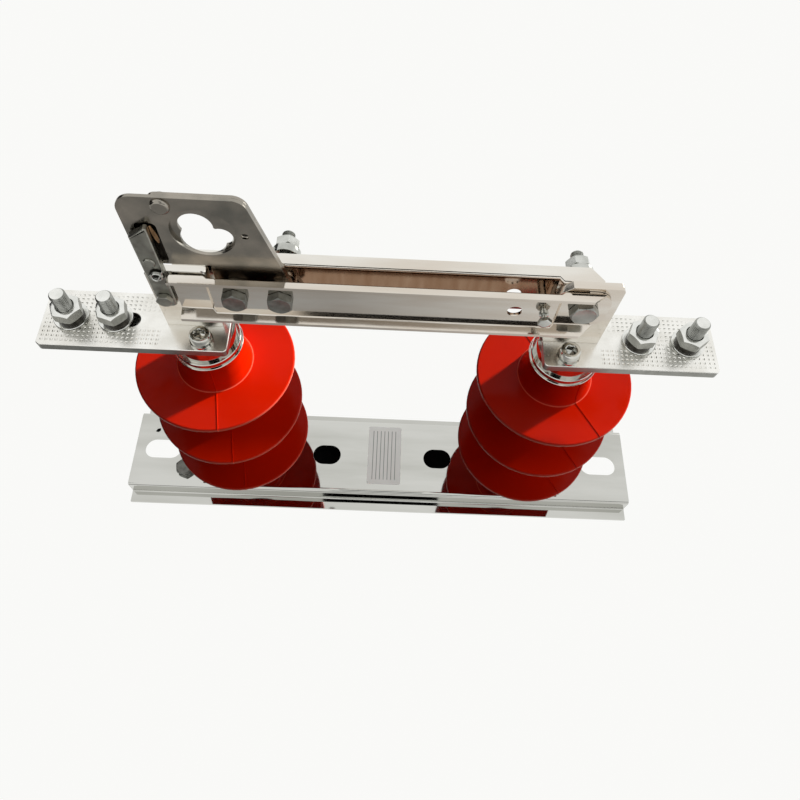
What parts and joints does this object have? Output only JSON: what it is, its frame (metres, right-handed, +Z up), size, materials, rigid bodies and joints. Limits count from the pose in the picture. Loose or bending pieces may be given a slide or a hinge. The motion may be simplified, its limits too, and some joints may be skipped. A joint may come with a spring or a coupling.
{
  "type": "knife disconnect switch",
  "caption": "Outdoor single-pole knife disconnect switch: hinged twin-channel blade with pull ring on red shed insulators, over a slotted steel rail.",
  "frame": {"origin": "centre of the rail's foot print, on the ground", "axes": "+X along the rail to the hinge end, +Y to the back, +Z up"},
  "size_m": [0.449, 0.11, 0.3391],
  "materials": {
    "silicone_rubber": "glossy moulded",
    "polished_stainless": "mirror polished",
    "plated_copper": "bright tin plate over copper",
    "dull_stainless": "dull",
    "zinc_plated_steel": "bright zinc plate"
  },
  "bodies": {
    "pole_frame": {"base_channel": "polished_stainless", "cap_left": "zinc_plated_steel", "cap_right": "zinc_plated_steel", "cap_screw_left_front": "zinc_plated_steel", "cap_screw_left_rear": "zinc_plated_steel", "cap_screw_right_front": "zinc_plated_steel", "cap_screw_right_rear": "zinc_plated_steel", "contact_upright": "plated_copper", "earth_bolt": "zinc_plated_steel", "foot_left": "zinc_plated_steel", "foot_right": "zinc_plated_steel", "hinge_upright": "plated_copper", "insulator_left": "silicone_rubber", "insulator_right": "silicone_rubber", "terminal_bolt_left_inner": "zinc_plated_steel", "terminal_bolt_left_outer": "zinc_plated_steel", "terminal_bolt_right_inner": "zinc_plated_steel", "terminal_bolt_right_outer": "zinc_plated_steel", "terminal_left": "plated_copper", "terminal_nut_left_inner": "zinc_plated_steel", "terminal_nut_left_outer": "zinc_plated_steel", "terminal_nut_right_inner": "zinc_plated_steel", "terminal_nut_right_outer": "zinc_plated_steel", "terminal_right": "plated_copper"},
    "blade": {"blade_bolt_1": "zinc_plated_steel", "blade_bolt_2": "zinc_plated_steel", "blade_front": "plated_copper", "blade_nut_1": "zinc_plated_steel", "blade_nut_2": "zinc_plated_steel", "blade_rear": "plated_copper", "blade_spring_1": "zinc_plated_steel", "blade_spring_2": "zinc_plated_steel", "hinge_bolt": "zinc_plated_steel", "hinge_nut": "zinc_plated_steel", "hinge_spring": "zinc_plated_steel", "lock_bar": "dull_stainless", "lock_bolt": "zinc_plated_steel", "lock_pin": "zinc_plated_steel", "ring_plate_front": "polished_stainless", "ring_plate_rear": "polished_stainless", "ring_rivet": "polished_stainless", "spacer_1_front": "zinc_plated_steel", "spacer_1_rear": "zinc_plated_steel", "spacer_2_front": "zinc_plated_steel", "spacer_2_rear": "zinc_plated_steel", "stop_pin": "zinc_plated_steel"}
  },
  "joints": [
    {"name": "blade_hinge", "type": "hinge", "parent": "pole_frame", "child": "blade", "pos_m": [0.115, 0, 0.2668], "axis": [0, 1, 0], "range_deg": [0, 120]}
  ]
}
